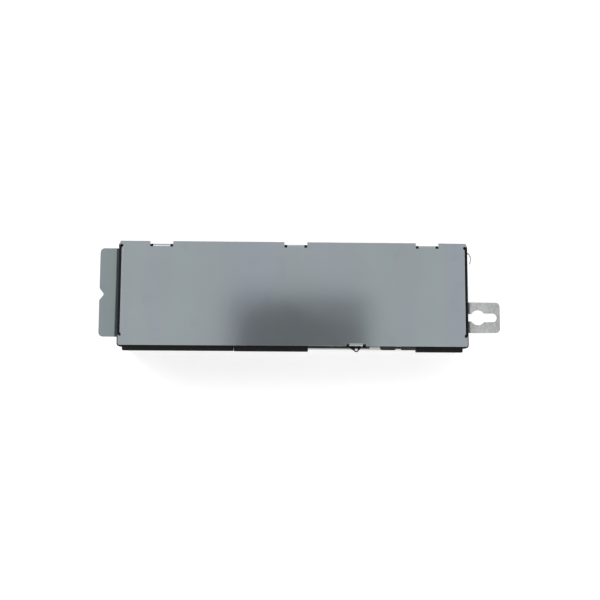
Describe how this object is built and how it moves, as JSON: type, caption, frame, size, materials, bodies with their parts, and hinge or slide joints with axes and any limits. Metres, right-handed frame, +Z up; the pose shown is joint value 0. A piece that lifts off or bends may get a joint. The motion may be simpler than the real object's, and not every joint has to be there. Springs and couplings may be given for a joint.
{
  "type": "bill validator",
  "caption": "Flat sheet-steel bill validator with a hinged sensor-and-roller upper unit, a driven lower unit, and a notched ear and a keyhole ear for mounting.",
  "frame": {"origin": "middle of the underside of the chassis tray", "axes": "+X along the unit towards the keyhole ear, +Y from the front edge to the hinged back, +Z up out of the cover"},
  "size_m": [0.2847, 0.079, 0.056],
  "materials": {
    "coated_steel": "satin blue-grey coating",
    "plated_steel": "zinc plated",
    "bright_steel": "ground bright steel",
    "black_plastic": "fine moulded texture",
    "grey_plastic": "moulded satin",
    "white_plastic": "natural acetal",
    "bronze": "sintered, oiled",
    "rubber": "ground matt rubber",
    "sensor_glass": "polished flat glass",
    "circuit_board": "green solder resist",
    "socket_shell": "tinned steel shell"
  },
  "bodies": {
    "lower_unit": {"chassis_tray": "plated_steel", "left_side_plate": "coated_steel", "right_side_plate": "plated_steel", "lower_guide": "black_plastic", "lower_image_sensor": "grey_plastic", "lower_sensor_glass": "sensor_glass", "magnetic_head_bar": "socket_shell", "lower_sensor_board": "circuit_board", "front_left_bush": "bronze", "front_right_bush": "bronze", "rear_left_bush": "bronze", "rear_right_bush": "bronze", "left_hinge_pin": "bright_steel", "right_hinge_pin": "bright_steel", "lift_spring": "bright_steel"},
    "upper_unit": {"top_cover": "coated_steel", "upper_bezel": "black_plastic", "upper_frame": "black_plastic", "upper_guide": "black_plastic", "upper_image_sensor": "grey_plastic", "upper_sensor_glass": "sensor_glass", "control_board": "circuit_board", "wide_connector": "black_plastic", "middle_connector": "black_plastic", "right_connector": "black_plastic", "left_shielded_socket": "socket_shell", "middle_shielded_socket": "socket_shell", "right_shielded_socket": "socket_shell"},
    "latch": {"latch_shaft": "bright_steel", "left_latch_hook": "plated_steel", "right_latch_hook": "plated_steel", "release_lever": "black_plastic"},
    "rear_drive": {"rear_drive_shaft": "bright_steel", "rear_drive_roller_1": "rubber", "rear_drive_roller_2": "rubber", "rear_drive_roller_3": "rubber", "rear_shaft_gear": "white_plastic", "input_gear": "white_plastic"},
    "front_drive": {"front_drive_shaft": "bright_steel", "front_drive_roller_1": "rubber", "front_drive_roller_2": "rubber", "front_drive_roller_3": "rubber", "front_shaft_gear": "white_plastic"},
    "idler": {"idler_gear": "white_plastic"},
    "front_pinch_carrier": {"front_left_pinch_block": "white_plastic", "front_right_pinch_block": "white_plastic", "front_left_pinch_spring": "bright_steel", "front_right_pinch_spring": "bright_steel"},
    "front_pinch_roller_set": {"front_pinch_shaft": "bright_steel", "front_pinch_roller_1": "grey_plastic", "front_pinch_roller_2": "grey_plastic", "front_pinch_roller_3": "grey_plastic"},
    "rear_pinch_carrier": {"rear_left_pinch_block": "white_plastic", "rear_right_pinch_block": "white_plastic", "rear_left_pinch_spring": "bright_steel", "rear_right_pinch_spring": "bright_steel"},
    "rear_pinch_roller_set": {"rear_pinch_shaft": "bright_steel", "rear_pinch_roller_1": "grey_plastic", "rear_pinch_roller_2": "grey_plastic", "rear_pinch_roller_3": "grey_plastic"}
  },
  "joints": [
    {"name": "upper_unit_hinge", "type": "hinge", "parent": "lower_unit", "child": "upper_unit", "pos_m": [0, 0.0315, 0.038], "axis": [-1, 0, 0], "range_deg": [0, 60]},
    {"name": "latch_pivot", "type": "hinge", "parent": "upper_unit", "child": "latch", "pos_m": [0, -0.03, 0.043], "axis": [1, 0, 0], "range_deg": [0, 15]},
    {"name": "rear_drive_spin", "type": "hinge", "parent": "lower_unit", "child": "rear_drive", "pos_m": [0, 0.0216, 0.0176], "axis": [1, 0, 0], "continuous": true},
    {"name": "front_drive_spin", "type": "hinge", "parent": "lower_unit", "child": "front_drive", "pos_m": [0, -0.0216, 0.0176], "axis": [1, 0, 0], "continuous": true},
    {"name": "idler_spin", "type": "hinge", "parent": "lower_unit", "child": "idler", "pos_m": [0, 0, 0.0176], "axis": [1, 0, 0], "continuous": true},
    {"name": "front_pinch_float", "type": "slide", "parent": "upper_unit", "child": "front_pinch_carrier", "axis": [0, 0, 1], "range_m": [0, 0.001], "stiffness_N_per_m": 600, "springref_m": -0.004, "deforming": ["front_left_pinch_spring", "front_right_pinch_spring"]},
    {"name": "front_pinch_spin", "type": "hinge", "parent": "front_pinch_carrier", "child": "front_pinch_roller_set", "pos_m": [0, -0.0216, 0.0329], "axis": [1, 0, 0], "continuous": true},
    {"name": "rear_pinch_float", "type": "slide", "parent": "upper_unit", "child": "rear_pinch_carrier", "axis": [0, 0, 1], "range_m": [0, 0.001], "stiffness_N_per_m": 600, "springref_m": -0.004, "deforming": ["rear_left_pinch_spring", "rear_right_pinch_spring"]},
    {"name": "rear_pinch_spin", "type": "hinge", "parent": "rear_pinch_carrier", "child": "rear_pinch_roller_set", "pos_m": [0, 0.0216, 0.0329], "axis": [1, 0, 0], "continuous": true}
  ],
  "couplings": [
    {"joint": "front_drive_spin", "follows": "rear_drive_spin", "ratio": 1},
    {"joint": "idler_spin", "follows": "rear_drive_spin", "ratio": -0.6875}
  ]
}
